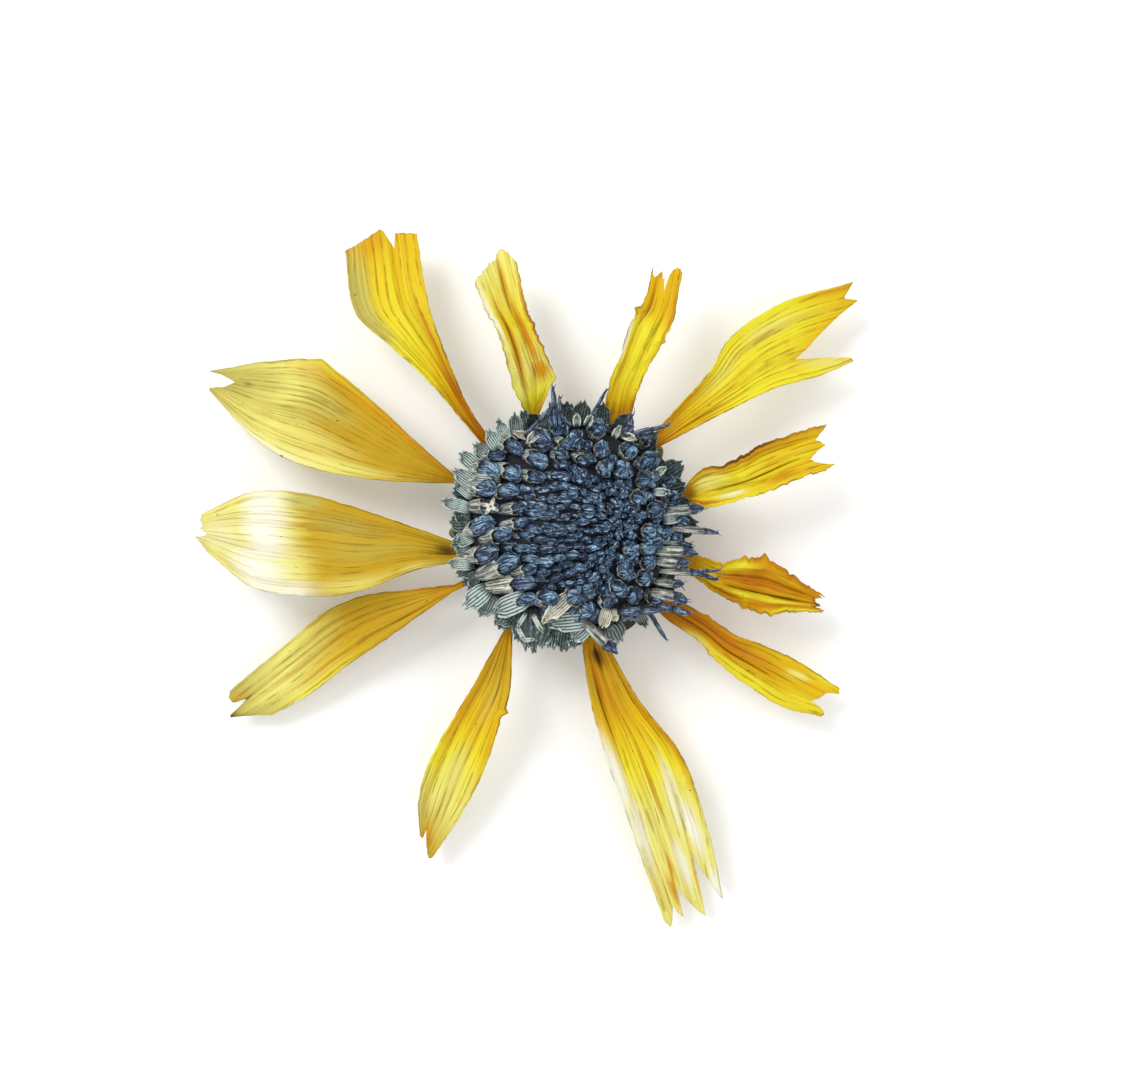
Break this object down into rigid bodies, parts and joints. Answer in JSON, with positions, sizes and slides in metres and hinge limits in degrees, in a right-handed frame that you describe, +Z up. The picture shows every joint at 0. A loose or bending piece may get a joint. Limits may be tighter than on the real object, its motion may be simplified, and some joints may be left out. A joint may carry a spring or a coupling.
{
  "type": "dried sunflower",
  "caption": "Small dried sunflower head without a stem, lying face up: torn, veined golden petals round a low domed disc of dark slate-blue florets.",
  "frame": {"origin": "centre of the flat cut end of the stalk's stub, where the head rests on the table", "axes": "+Z up out of the disc; +Y towards the top of the picture; +X towards its right, the way the florets lean"},
  "size_m": [0.0832, 0.0876, 0.0156],
  "materials": {
    "bract": "dried green-brown bracts and cup, matt",
    "chaff": "papery pale grey-green scales with fine ribs",
    "floret": "shrivelled slate-blue florets on pale pleated bodies, matt",
    "petal_gold": "thin papery egg-yellow petal, finely veined, orange at the root",
    "petal_ochre": "thin papery olive-ochre petal, finely veined and bleached in places"
  },
  "bodies": {
    "root": {"receptacle": "bract", "chaff_ring": "chaff", "disc_florets": "floret", "ray_petal_01": "petal_gold", "ray_petal_02": "petal_gold", "ray_petal_03": "petal_gold", "ray_petal_04": "petal_gold", "ray_petal_05": "petal_gold", "ray_petal_06": "petal_gold", "ray_petal_07": "petal_gold", "ray_petal_08": "petal_gold", "ray_petal_09": "petal_gold", "ray_petal_10": "petal_ochre", "ray_petal_11": "petal_ochre", "ray_petal_12": "petal_ochre"}
  },
  "joints": []
}
